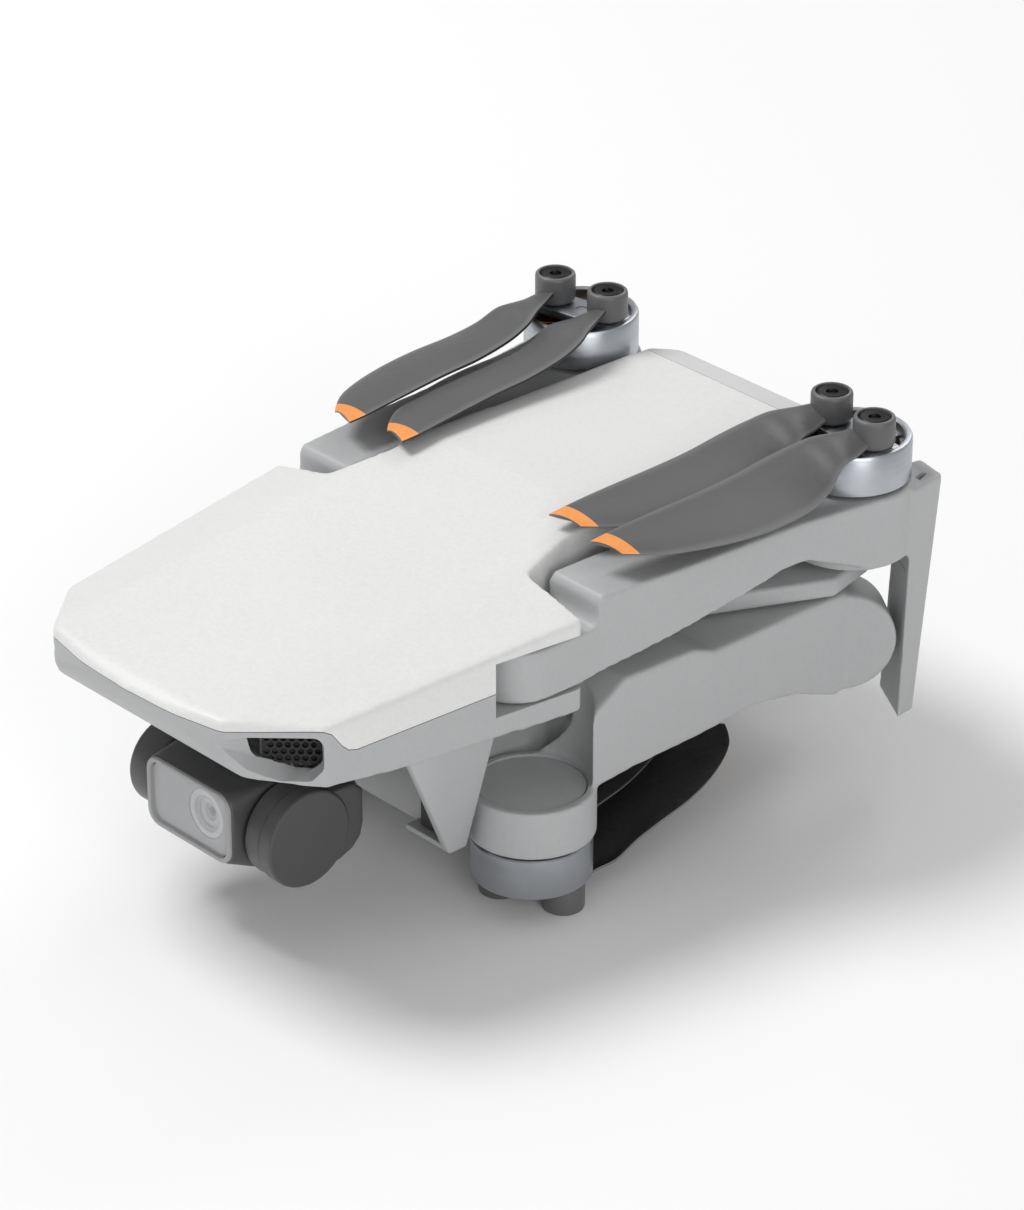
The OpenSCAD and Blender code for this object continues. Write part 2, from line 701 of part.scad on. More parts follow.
upper_shell();
lower_shell();
rear_cover();
belly_cover();
intake_grilles();
shell_screws();
main_board();
heat_sink();
gps_module();
fan_housing();
fan_impeller();
vision_lenses();
infrared_window();
battery_lights();
usb_port();
card_slot();
status_lamp();
battery_terminals();
battery_pack();
battery_door();
door_hinge_pin();
power_button();
front_hinge_pins();
rear_hinge_pins();
gimbal_plate();
rubber_dampers();
yaw_arm();
roll_motor();
roll_arm();
tilt_motor();
camera_housing();
lens_window();
lens_barrel();
front_left_arm();
front_left_leg_cover();
front_left_stator();
front_left_bell();
front_left_blade_pins();
front_left_blade_a();
front_left_blade_b();
front_right_arm();
front_right_leg_cover();
front_right_stator();
front_right_bell();
front_right_blade_pins();
front_right_blade_a();
front_right_blade_b();
rear_left_arm();
rear_left_stator();
rear_left_bell();
rear_left_blade_pins();
rear_left_blade_a();
rear_left_blade_b();
rear_right_arm();
rear_right_stator();
rear_right_bell();
rear_right_blade_pins();
rear_right_blade_a();
rear_right_blade_b();
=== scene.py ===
import json
import math

import bmesh
import bpy
from mathutils import Matrix, Vector


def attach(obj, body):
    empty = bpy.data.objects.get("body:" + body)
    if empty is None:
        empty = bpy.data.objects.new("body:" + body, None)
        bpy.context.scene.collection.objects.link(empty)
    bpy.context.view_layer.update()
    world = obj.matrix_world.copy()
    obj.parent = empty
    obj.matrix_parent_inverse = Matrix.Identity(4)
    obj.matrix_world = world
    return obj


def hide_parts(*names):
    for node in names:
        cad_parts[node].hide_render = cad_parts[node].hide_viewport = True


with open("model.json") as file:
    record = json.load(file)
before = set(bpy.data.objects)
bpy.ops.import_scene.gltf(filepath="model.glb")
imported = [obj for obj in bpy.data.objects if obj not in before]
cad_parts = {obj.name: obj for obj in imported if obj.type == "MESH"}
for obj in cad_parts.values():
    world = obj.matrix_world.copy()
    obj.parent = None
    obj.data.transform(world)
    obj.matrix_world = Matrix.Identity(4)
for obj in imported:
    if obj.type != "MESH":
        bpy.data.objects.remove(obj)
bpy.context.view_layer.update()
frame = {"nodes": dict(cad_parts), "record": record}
nodes = frame["nodes"]

# Pieces are modelled in millimetres about the middle of the body, then set on the ground.
DATUM = Vector((0.0, 9.7, 34.0))
MM = 0.001
TO_FRAME = Matrix.Scale(MM, 4) @ Matrix.Translation(DATUM)


# ---------- mesh helpers ----------

def keep(bm, name="work"):
    mesh = bpy.data.meshes.new(name)
    bm.normal_update()
    bm.to_mesh(mesh)
    bm.free()
    obj = bpy.data.objects.new(name, mesh)
    bpy.context.scene.collection.objects.link(obj)
    return obj


def drop(obj):
    mesh = obj.data
    bpy.data.objects.remove(obj)
    bpy.data.meshes.remove(mesh)


def bake(obj):
    graph = bpy.context.evaluated_depsgraph_get()
    mesh = bpy.data.meshes.new_from_object(obj.evaluated_get(graph))
    old = obj.data
    obj.modifiers.clear()
    obj.data = mesh
    bpy.data.meshes.remove(old)
    return obj


def prism(points, axis, a, b):
    place = {
        "x": lambda u, v, h: (h, u, v),
        "y": lambda u, v, h: (u, h, v),
        "z": lambda u, v, h: (u, v, h),
    }[axis]
    bm = bmesh.new()
    low = [bm.verts.new(place(u, v, a)) for u, v in points]
    high = [bm.verts.new(place(u, v, b)) for u, v in points]
    bm.faces.new(low)
    bm.faces.new(high)
    n = len(points)
    for i in range(n):
        j = (i + 1) % n
        bm.faces.new((low[i], low[j], high[j], high[i]))
    bmesh.ops.recalc_face_normals(bm, faces=bm.faces)
    return keep(bm)


def box(a, b):
    return prism([(a[0], a[1]), (b[0], a[1]), (b[0], b[1]), (a[0], b[1])], "z", a[2], b[2])


def hull(points):
    bm = bmesh.new()
    for p in points:
        bm.verts.new(p)
    bmesh.ops.convex_hull(bm, input=bm.verts)
    bmesh.ops.recalc_face_normals(bm, faces=bm.faces)
    return keep(bm)


def slab(outline, z0, other, z1):
    return hull([(x, y, z0) for x, y in outline] + [(x, y, z1) for x, y in other])


def lathe(profile, segments=72):
    """A closed ring swept from (radius, height) points about the z axis; points on the axis close it."""
    bm = bmesh.new()
    rings = []
    for r, z in profile:
        if r < 1e-6:
            rings.append([bm.verts.new((0, 0, z))] * segments)
        else:
            rings.append([
                bm.verts.new((
                    r * math.cos(2 * math.pi * k / segments),
                    r * math.sin(2 * math.pi * k / segments),
                    z,
                ))
                for k in range(segments)
            ])
    closed = profile[0][0] > 1e-6
    for i in range(len(rings) if closed else len(rings) - 1):
        a, b = rings[i], rings[(i + 1) % len(rings)]
        for k in range(segments):
            j = (k + 1) % segments
            corner = list(dict.fromkeys((a[k], a[j], b[j], b[k])))
            if len(corner) > 2:
                bm.faces.new(corner)
    bmesh.ops.recalc_face_normals(bm, faces=bm.faces)
    return keep(bm)


def rod(r, z0, z1, edge=0.0, segments=72):
    if edge <= 0:
        return lathe([(0, z0), (r, z0), (r, z1), (0, z1)], segments)
    arc = [
        (math.sin(a), 1 - math.cos(a))
        for a in (0, math.pi / 8, math.pi / 4, math.pi * 3 / 8, math.pi / 2)
    ]
    low = [(r - edge + edge * s, z0 + edge * c) for s, c in arc]
    high = [(r - edge + edge * s, z1 - edge * c) for s, c in reversed(arc)]
    return lathe([(0, z0)] + low + high + [(0, z1)], segments)


def moved(obj, *matrices):
    for m in matrices:
        obj.data.transform(m)
    return obj


def shift(x, y, z):
    return Matrix.Translation((x, y, z))


def turn(degrees, axis):
    return Matrix.Rotation(math.radians(degrees), 4, axis)


def along(axis):
    return {"x": turn(90, "Y"), "y": turn(-90, "X"), "-y": turn(90, "X"), "z": Matrix.Identity(4)}[axis]


def flip(obj):
    """The mirror image across the body's middle plane."""
    mesh = obj.data.copy()
    mesh.transform(Matrix.Scale(-1, 4, (1, 0, 0)))
    mesh.flip_normals()
    other = bpy.data.objects.new(obj.name, mesh)
    bpy.context.scene.collection.objects.link(other)
    return other


def both(obj):
    return join([obj, flip(obj)])


def twin(obj):
    other = bpy.data.objects.new(obj.name, obj.data.copy())
    bpy.context.scene.collection.objects.link(other)
    return other


def join(objs):
    bm = bmesh.new()
    materials = []
    for o in objs:
        start = len(bm.faces)
        bm.from_mesh(o.data)
        bm.faces.ensure_lookup_table()
        index = []
        for m in o.data.materials:
            if m not in materials:
                materials.append(m)
            index.append(materials.index(m))
        if index:
            for f in bm.faces[start:]:
                f.material_index = index[min(f.material_index, len(index) - 1)]
    for o in objs:
        drop(o)
    out = keep(bm)
    for m in materials:
        out.data.materials.append(m)
    return out


def boolean(a, b, operation):
    m = a.modifiers.new("b", "BOOLEAN")
    m.operation = operation
    m.solver = "MANIFOLD"
    m.object = b
    bake(a)
    drop(b)
    return a


def cut(a, *others):
    for b in others:
        boolean(a, b, "DIFFERENCE")
    return a


def common(a, *others):
    for b in others:
        boolean(a, b, "INTERSECT")
    return a


def weld(a, *others):
    for b in others:
        boolean(a, b, "UNION")
    return a


def soften(obj, voxel, rounds):
    """Rounds every edge of a moulded form: an even mesh, then smoothing that leaves flats flat."""
    m = obj.modifiers.new("v", "REMESH")
    m.mode = "VOXEL"
    m.voxel_size = voxel
    m.adaptivity = 0.0
    bake(obj)
    s = obj.modifiers.new("s", "SMOOTH")
    s.factor = 0.5
    s.iterations = rounds
    return bake(obj)


def bevel(obj, width, segments=3, angle=30):
    m = obj.modifiers.new("e", "BEVEL")
    m.width = width
    m.segments = segments
    m.limit_method = "ANGLE"
    m.angle_limit = math.radians(angle)
    m.use_clamp_overlap = True
    return bake(obj)


def deliver(obj, name, body, node, material, sharp=32):
    """Sets a finished piece in the frame in place of its CAD node."""
    obj.name = name
    mesh = obj.data
    mesh.name = name
    mesh.transform(TO_FRAME)
    if material is not None:
        mesh.materials.clear()
        mesh.materials.append(material)
        for p in mesh.polygons:
            p.material_index = 0
    for p in mesh.polygons:
        p.use_smooth = True
    mesh.set_sharp_from_angle(angle=math.radians(sharp))
    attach(obj, body)
    if node:
        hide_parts(*([node] if isinstance(node, str) else node))
    return obj


# ---------- materials ----------

def shader(name, colour, rough, metal=0.0):
    mat = bpy.data.materials.new(name)
    mat.use_nodes = True
    tree = mat.node_tree
    bsdf = tree.nodes["Principled BSDF"]
    bsdf.inputs["Base Color"].default_value = (*colour, 1)
    bsdf.inputs["Roughness"].default_value = rough
    bsdf.inputs["Metallic"].default_value = metal
    coords = tree.nodes.new("ShaderNodeTexCoord")
    return mat, tree, bsdf, coords


def noise(tree, coords, scale, detail=3.0, stretch=None):
    n = tree.nodes.new("ShaderNodeTexNoise")
    n.inputs["Scale"].default_value = scale
    n.inputs["Detail"].default_value = detail
    source = coords.outputs["Object"]
    if stretch:
        m = tree.nodes.new("ShaderNodeMapping")
        m.inputs["Scale"].default_value = stretch
        tree.links.new(source, m.inputs["Vector"])
        source = m.outputs["Vector"]
    tree.links.new(source, n.inputs["Vector"])
    return n.outputs["Fac"]


def ramp(tree, factor, stops):
    r = tree.nodes.new("ShaderNodeValToRGB")
    while len(r.color_ramp.elements) < len(stops):
        r.color_ramp.elements.new(0.5)
    for e, (at, c) in zip(r.color_ramp.elements, stops):
        e.position = at
        e.color = (*c, 1) if len(c) == 3 else c
    tree.links.new(factor, r.inputs["Fac"])
    return r.outputs["Color"]


def grey(v):
    return (v, v, v)


def tinted(colour, k):
    return tuple(min(1.0, c * k) for c in colour)


def bump(tree, bsdf, layers):
    last = None
    for height, strength, distance in layers:
        b = tree.nodes.new("ShaderNodeBump")
        b.inputs["Strength"].default_value = strength
        b.inputs["Distance"].default_value = distance
        tree.links.new(height, b.inputs["Height"])
        if last is not None:
            tree.links.new(last, b.inputs["Normal"])
        last = b.outputs["Normal"]
    tree.links.new(last, bsdf.inputs["Normal"])


def edge_light(tree, base, amount):
    """Lightens convex edges a little."""
    g = tree.nodes.new("ShaderNodeNewGeometry")
    r = tree.nodes.new("ShaderNodeMapRange")
    r.inputs["From Min"].default_value = 0.52
    r.inputs["From Max"].default_value = 0.62
    r.inputs["To Max"].default_value = amount
    tree.links.new(g.outputs["Pointiness"], r.inputs["Value"])
    mix = tree.nodes.new("ShaderNodeMix")
    mix.data_type = "RGBA"
    mix.blend_type = "SCREEN"
    tree.links.new(r.outputs["Result"], mix.inputs[0])
    tree.links.new(base, mix.inputs[6])
    mix.inputs[7].default_value = (0.35, 0.35, 0.35, 1)
    return mix.outputs[2]


def moulded(name, colour, rough=0.5, grain=1400, depth=0.00006, speck=0.06, edge_lift=0.25):
    """Fine-textured moulded plastic: soft clouding, a pebbled grain and slightly lightened convex edges."""
    mat, tree, bsdf, co = shader(name, colour, rough)
    cloud = noise(tree, co, 35, 4)
    fine = noise(tree, co, grain, 2)
    base = ramp(tree, cloud, [(0.3, tinted(colour, 1 - speck)), (0.7, tinted(colour, 1 + speck * 0.6))])
    speckle = ramp(tree, fine, [(0.35, grey(0.965)), (0.6, grey(1.0))])
    mix = tree.nodes.new("ShaderNodeMix")
    mix.data_type = "RGBA"
    mix.blend_type = "MULTIPLY"
    mix.inputs[0].default_value = 1.0
    tree.links.new(base, mix.inputs[6])
    tree.links.new(speckle, mix.inputs[7])
    tree.links.new(edge_light(tree, mix.outputs[2], edge_lift), bsdf.inputs["Base Color"])
    r = ramp(tree, fine, [(0.3, grey(rough - 0.06)), (0.7, grey(min(1, rough + 0.08)))])
    tree.links.new(r, bsdf.inputs["Roughness"])
    bump(tree, bsdf, [(fine, 0.35, depth), (noise(tree, co, grain * 0.37, 2), 0.25, depth * 1.6)])
    return mat


def metal(name, colour, rough=0.3, stretch=(60, 60, 2200), depth=0.00002):
    """Turned or brushed metal with fine lines and a little clouding."""
    mat, tree, bsdf, co = shader(name, colour, rough, 1.0)
    lines = noise(tree, co, 1.0, 2, stretch)
    cloud = noise(tree, co, 120, 3)
    tree.links.new(
        ramp(tree, cloud, [(0.3, tinted(colour, 0.9)), (0.7, tinted(colour, 1.08))]),
        bsdf.inputs["Base Color"],
    )
    tree.links.new(
        ramp(tree, lines, [(0.3, grey(rough - 0.07)), (0.7, grey(rough + 0.1))]),
        bsdf.inputs["Roughness"],
    )
    bump(tree, bsdf, [(lines, 0.3, depth)])
    return mat


def windings(name):
    """Copper wire wound in even turns along z."""
    mat, tree, bsdf, co = shader(name, (0.36, 0.15, 0.05), 0.35, 0.7)
    wave = tree.nodes.new("ShaderNodeTexWave")
    wave.bands_direction = "Z"
    wave.inputs["Scale"].default_value = 900
    wave.inputs["Distortion"].default_value = 1.5
    tree.links.new(co.outputs["Object"], wave.inputs["Vector"])
    tree.links.new(ramp(tree, wave.outputs["Fac"], [(0.2, (0.10, 0.035, 0.012)), (0.6, (0.42, 0.18, 0.06))]),
                   bsdf.inputs["Base Color"])
    bump(tree, bsdf, [(wave.outputs["Fac"], 0.6, 0.00015)])
    return mat


def circuit(name):
    """Green board with a pattern of tracks and pads."""
    mat, tree, bsdf, co = shader(name, (0.01, 0.10, 0.05), 0.32)
    v = tree.nodes.new("ShaderNodeTexVoronoi")
    v.distance = "MANHATTAN"
    v.inputs["Scale"].default_value = 420
    tree.links.new(co.outputs["Object"], v.inputs["Vector"])
    tree.links.new(
        ramp(tree, v.outputs["Distance"], [
            (0.04, (0.30, 0.24, 0.10)),
            (0.12, (0.012, 0.11, 0.055)),
            (0.6, (0.008, 0.075, 0.04)),
        ]),
        bsdf.inputs["Base Color"],
    )
    bump(tree, bsdf, [(v.outputs["Distance"], 0.3, 0.0001)])
    return mat


def glossy(name, colour, rough=0.06, coat=0.0):
    """Smooth paint or glass without any grain."""
    mat, tree, bsdf, co = shader(name, colour, rough)
    cloud = noise(tree, co, 60, 3)
    tree.links.new(
        ramp(tree, cloud, [(0.3, tinted(colour, 0.85)), (0.7, tinted(colour, 1.15))]),
        bsdf.inputs["Base Color"],
    )
    tree.links.new(ramp(tree, noise(tree, co, 300, 2), [(0.3, grey(rough)), (0.75, grey(rough + 0.05))]),
                   bsdf.inputs["Roughness"])
    bsdf.inputs["Coat Weight"].default_value = coat
    return mat


TOP = moulded("shell_light", (0.76, 0.755, 0.75), 0.46, 1500, 0.00006, 0.015, 0.1)
SIDE = moulded("shell_mid", (0.44, 0.445, 0.45), 0.5, 1500, 0.00006, 0.03, 0.12)
COVER = moulded("shell_rear", (0.66, 0.66, 0.66), 0.48, 1500, 0.00006, 0.02, 0.1)
ARM = moulded("arm_plastic", (0.45, 0.455, 0.46), 0.5, 1300, 0.00006, 0.03, 0.12)
BLADE = moulded("blade_plastic", (0.105, 0.106, 0.108), 0.42, 900, 0.00003, 0.08, 0.3)
TIP = moulded("blade_tip", (0.90, 0.33, 0.08), 0.45, 900, 0.00003, 0.05, 0.1)
# Painted shade: the blades' lower skin is the same plastic, coloured far darker to stand for the shade it
# lies in.
UNDERSIDE_PAINTED_SHADE = moulded("blade_underside_painted_shade", (0.018, 0.018, 0.019), 0.6, 900, 0.00003, 0.08, 0.05)
BLACK = moulded("black_plastic", (0.012, 0.012, 0.013), 0.6, 1200, 0.00006, 0.1, 0.15)
GIMBAL = moulded("gimbal_paint", (0.066, 0.066, 0.068), 0.38, 1800, 0.00003, 0.06, 0.04)
GIMBAL_LIGHT = moulded("gimbal_bezel", (0.34, 0.34, 0.345), 0.36, 1800, 0.00003, 0.05, 0.2)
BELL = metal("motor_metal", (0.47, 0.49, 0.52), 0.36, (60, 60, 2600), 0.000006)
STEEL = metal("pin_steel", (0.55, 0.55, 0.56), 0.28, (900, 900, 900))
DARK_STEEL = metal("black_steel", (0.035, 0.035, 0.037), 0.4, (900, 900, 900))
GOLD = metal("contact_gold", (0.85, 0.62, 0.24), 0.25, (700, 700, 700))
FINS = metal("heat_metal", (0.62, 0.62, 0.64), 0.4, (60, 2000, 60))
COPPER = windings("copper")
BOARD = circuit("board")
CERAMIC = moulded("ceramic", (0.46, 0.40, 0.29), 0.6, 700, 0.00004, 0.08, 0.1)
RUBBER = moulded("damper_rubber", (0.012, 0.012, 0.012), 0.8, 900, 0.00008, 0.1, 0.1)
BATTERY = moulded("battery_case", (0.075, 0.076, 0.08), 0.55, 1100, 0.00006, 0.05, 0.2)
LENS = glossy("lens_black", (0.006, 0.006, 0.008), 0.04, 1.0)
# Painted reflection: the window's mask plate is light grey to stand for the bright surroundings mirrored in
# the glass.
MASK_PAINTED_REFLECTION = glossy("window_mask_painted_reflection", (0.32, 0.32, 0.33), 0.3)
# Painted reflection: the lens's stepped rings are coloured light and dim grey in turn to stand for the bright
# surroundings mirrored in them.
RING_PAINTED_HIGHLIGHT = glossy("lens_ring_painted_highlight", (0.60, 0.60, 0.61), 0.3)
RING_PAINTED_DIM_REFLECTION = glossy("lens_ring_painted_dim_reflection", (0.40, 0.40, 0.41), 0.3)
LAMP = moulded("lamp", (0.75, 0.80, 0.77), 0.25, 500, 0.00002, 0.04, 0.05)

# CAD nodes that no visual piece replaces show themselves, in the material of their slot.
slot_material = {
    "top_shell": TOP, "side_shell": SIDE, "cover_shell": COVER, "arm_plastic": ARM, "black_plastic": BLACK,
    "blade_plastic": BLADE, "gimbal_metal": GIMBAL, "lens_black": LENS, "motor_metal": BELL, "copper": COPPER,
    "pin_steel": STEEL, "black_steel": DARK_STEEL, "board": BOARD, "heat_metal": FINS, "ceramic": CERAMIC,
    "damper_rubber": RUBBER, "battery_case": BATTERY, "contact_gold": GOLD, "lamp": LAMP,
}
for part in frame["record"]["subparts"]:
    look = slot_material.get(part["material_slot"])
    if look is not None:
        mesh = nodes[part["node"]].data
        mesh.materials.clear()
        mesh.materials.append(look)

# ---------- body ----------

# The top plate is flat between the creases at +-CREASE_X and falls away by SLOPE_DROP to each shoulder.
CREASE_X, TOP_Z, BELLY_Z = 20.6, 23.6, -21.0
NOSE_Y, TAIL_Y, SHOULDER_Y, SHOULDER_X, NECK_X = -78.4, 59.0, -17.9, 36.0, 21.0
RAMP, SLOPE_DROP = 6.1, 3.7
SEAM_REAR, COVER_Y = 9.0, 48.3
HINGE = (28.4, -25.0)
SLOT_LOW, SLOT_HIGH, SLOT_FRONT = 6.2, 15.4, -36.4
ARM_OPEN = 105
SEAM_STEP = -34.0
SEAM_GAP, COVER_GAP = 0.15, 0.16
SHELL_WALL, TRAY_WALL = 1.7, 1.8
INTAKE, INTAKE_TURN = (25.45, -70.4, 0), 46.3
REAR_PIVOT, REAR_AXIS_TURN = (31, 42.6, -7), -33.7


# The body's outline from above, from the side and from the front, each drawn i mm inside the surface
def body_plan(i):
    half = [(0, NOSE_Y + i), (11, NOSE_Y + 0.7 + i), (20.2 - i * 0.6, -75.9 + i), (30.7 - i, -64.9 + i * 0.6),
            (SHOULDER_X - i, SHOULDER_Y - i), (23.4 - i, SHOULDER_Y - i), (NECK_X - i, -8), (NECK_X - i, 50),
            (17 - i, 57.2 - i), (9 - i, TAIL_Y - 0.5 - i), (0, TAIL_Y - i)]
    return half + [(-x, y) for x, y in reversed(half[1:-1])]


def body_sides(i):
    return [(NOSE_Y + i, -40), (NOSE_Y + i, 14.2 - i), (-76 + i, 15.5 - i), (-60, 17.2 - i),
            (0, TOP_Z - i), (COVER_Y, TOP_Z - 0.7 - i), (54 - i, 21.8 - i), (57.6 - i, 18.6 - i),
            (TAIL_Y - i, 12), (TAIL_Y - i, -40)]


def body_cross(i):
    half = NECK_X + 19
    edge = SLOPE_DROP / (SHOULDER_X - CREASE_X) * (half - CREASE_X)
    outline = [(-half, -80), (half, -80), (half, -edge),
               (CREASE_X - i, 0), (i - CREASE_X, 0), (-half, -edge)]
    wedge = prism(outline, "y", -100, 100)
    return moved(wedge, turn(RAMP, "X"), shift(0, 0, TOP_Z - i))


def body_block(i):
    return common(prism(body_plan(i), "z", -60, 40), prism(body_sides(i), "x", -40, 40), body_cross(i))


def above_seam(gap=0.0):
    """Everything above the line where the shells meet, which steps up over the arms' slots."""
    corner = [(-64.8, 13.8), (-63.6, 13.1), (-62.7, 11.9), (-61.8, 10.6), (-60.7, 9.6), (-59.2, 9.2)]
    outline = [(-90, 13.5), (-66, 13.9), *corner, (SEAM_STEP, 10.4), (SEAM_STEP, SLOT_HIGH),
               (SHOULDER_Y, SLOT_HIGH), (SHOULDER_Y, SEAM_REAR), (80, SEAM_REAR), (80, 60), (-90, 60)]
    return prism([(y, z - gap if z < 60 else z) for y, z in outline], "x", -45, 45)


def hinge_pocket():
    """Room for the front arm's root; the front wall leans so that the arm opens past 90 degrees."""
    x, y = HINGE
    lean = 20 * math.tan(math.radians(ARM_OPEN - 90))
    tool = weld(moved(rod(7.6, SLOT_LOW, SLOT_HIGH), shift(x, y, 0)),
                prism([(x, y - 7.6), (x + 20, y - 7.6 - lean), (x + 20, y + 20), (x, y + 20)],
                      "z", SLOT_LOW, SLOT_HIGH),
                box((x - 4.6, y, SLOT_LOW), (x + 20, y + 20, SLOT_HIGH)))
    return tool


def both_sides(make):
    a = make()
    return [flip(a), a]


# One softened form of the whole body is hollowed, then divided into the two shells and the rear cover.
outer = body_block(0)
tray_line = [(-90, 40), (-90, 13.8), (NOSE_Y, 13.8), (-76.2, 9.4), (-73.4, 5.6), (-66, 4.2),
             (-50, 2.7), (SHOULDER_Y, 2), (80, 2), (80, 40)]
high_part = common(twin(outer), prism(tray_line, "x", -45, 45))
rear_part = common(outer, box((-20.8, -8, BELLY_Z), (20.8, 58.4, 30)))
soft = soften(join([high_part, rear_part, box((-16.4, -33, BELLY_Z), (16.4, -7, 9))]), 0.45, 20)
hollow = common(body_block(SHELL_WALL), box((-40, -70, 10.2), (40, 56, 60)))
both_hinges = both(box((19.6, SLOT_FRONT, -10), (40, SHOULDER_Y, 40)))
cut(hollow, both_hinges)
cut(soft, hollow)

upper = common(twin(soft), above_seam())
cover = common(twin(upper), box((-45, COVER_Y + COVER_GAP, 0), (45, 90, 60)))
upper = common(upper, box((-45, -90, 0), (45, COVER_Y, 60)))
cut(upper, *both_sides(hinge_pocket))
deliver(upper, "upper_shell_moulding", "body", "upper_shell", TOP, 40)

# Data socket, card slot and status lamp
cut(cover, box((-4.8, 55, 10.3), (4.8, 62, 14.1)), box((5.4, 54, 10.3), (13.8, 62, 12.7)),
    box((-7.1, 55, 14.9), (7.1, 62, 17.1)))
deliver(cover, "rear_cover_moulding", "body", "rear_cover", COVER, 40)


# Lower shell: the same softened form below the seam, with cheeks, wings and the bay
def at_intake():
    return shift(*INTAKE) @ turn(INTAKE_TURN, "Z")


def intake_cut():
    front = [(-9.6, 12.2), (-4, 12.9), (6.6, 12.9), (7.6, 11.6),
             (7.6, 7.4), (5.6, 5.3), (0.8, 5.2), (-4.6, 7.4)]
    back = [(-0.8, 12.2), (6.6, 12.2), (6.9, 8.2), (4.6, 6.6), (0.4, 7.2)]
    shape = hull([(u, -0.5, z) for u, z in front] + [(u, 3.6, z) for u, z in back])
    return moved(bevel(shape, 0.5, 2), at_intake())


lower = cut(soft, above_seam(SEAM_GAP))
cheek = hull([(30.6, -49.4, 2.6), (32, -49.4, 2.6), (32, -32, 2.6), (30.6, -32, 2.6),
              (30.6, -49.4, 3.8), (32, -49.4, 3.8), (32, -32, 3.8), (30.6, -32, 3.8),
              (23.6, -35.6, BELLY_Z), (25, -35.6, BELLY_Z), (25, -32, BELLY_Z), (23.6, -32, BELLY_Z)])
bevel(cheek, 0.35, 3)
foot = bevel(box((14.6, -35.6, BELLY_Z), (24.6, -31.8, BELLY_Z + 1)), 0.3, 2)
back_wall = box((15.4, -33, BELLY_Z + 0.2), (24, -31.8, -0.2))
wing = bevel(prism([(19.8, 12), (27, 15), (36.6, 36), (34, 46.6), (19.8, 46.6)], "z", 2.9, 6.2), 0.8, 4)
boss = moved(rod(4.2, -13, -3.8, 0.5), along("x"), turn(REAR_AXIS_TURN, "Z"), shift(*REAR_PIVOT))
for piece in (cheek, foot, back_wall, wing, boss):
    weld(lower, flip(piece), piece)
cut(lower, *both_sides(intake_cut))
cut(lower, *both_sides(hinge_pocket))
cut(lower, box((-15.4, -28.6, -19.8), (15.4, 70, 6.4)), box((-14, -60, 1), (14, -36, 5.4)),
    box((-14.7, -31.1, -22), (14.7, 50.1, -19.7)), box((-12.2, 54.6, -22), (12.2, 70, -17.2)),
    box((-17.1, 55.4, -17.4), (17.1, 70, 7.2)))
cut(lower, common(body_block(TRAY_WALL), box((-40, -72, 5.6), (40, -36, 20)), prism(
    [(-72, 20), (-72, 9), (-66, 6.2), (-36, 4.6), (-36, 20)], "x", -45, 45)))
deliver(lower, "lower_shell_moulding", "body", "lower_shell", SIDE, 40)
# Painted shade: a thin black sheet on the inner walls of the gimbal bay stands for the shade inside the bay.
bay_shade_face = ((16.7, -19.8), (23, -19.8), (16.7, 1), (27, 1))
bay_shade_plate = bevel(hull([(x, y, z) for y in (-34.2, -33.1) for x, z in bay_shade_face]), 0.2, 2)
deliver(both(bay_shade_plate), "gimbal_bay_painted_shade", "body", None, BLACK)


# Honeycomb behind the intakes
def grille():
    plate = prism([(-2.2, 4.9), (7.4, 4.9), (7.4, 12.8), (-2.2, 12.8)], "y", 3.0, 3.6)
    holes = []
    step = 1.28
    for row in range(-4, 5):
        for col in range(-5, 6):
            u = 2.6 + col * step + (row % 2) * step / 2
            v = 8.9 + row * step * 0.866
            if -1.6 < u < 6.9 and 5.5 < v < 12.2:
                holes.append(moved(rod(0.52, 2.4, 4.2, 0, 6), along("y"), shift(u, 0, v)))
    return moved(cut(plate, join(holes)), at_intake())


mesh_panel = grille()
deliver(join([flip(mesh_panel), mesh_panel]), "intake_honeycomb", "body", "intake_grilles",
        BLACK)

# ---------- arms ----------

FRONT_MOTOR = (31.5, 44.0)
REAR_MOTOR = (27.1, -20.4)
CUP_R, STATOR_SEAT_R = 10.15, 7.8


def leg_form():
    low = [(31.4, 52.4), (41, 46.9), (40.5, 50.9), (32.2, 55)]
    high = [(33.4, 53), (41.5, 48.2), (40.2, 56), (34, 57.4)]
    return slab(low, -21.4, high, 19.6)


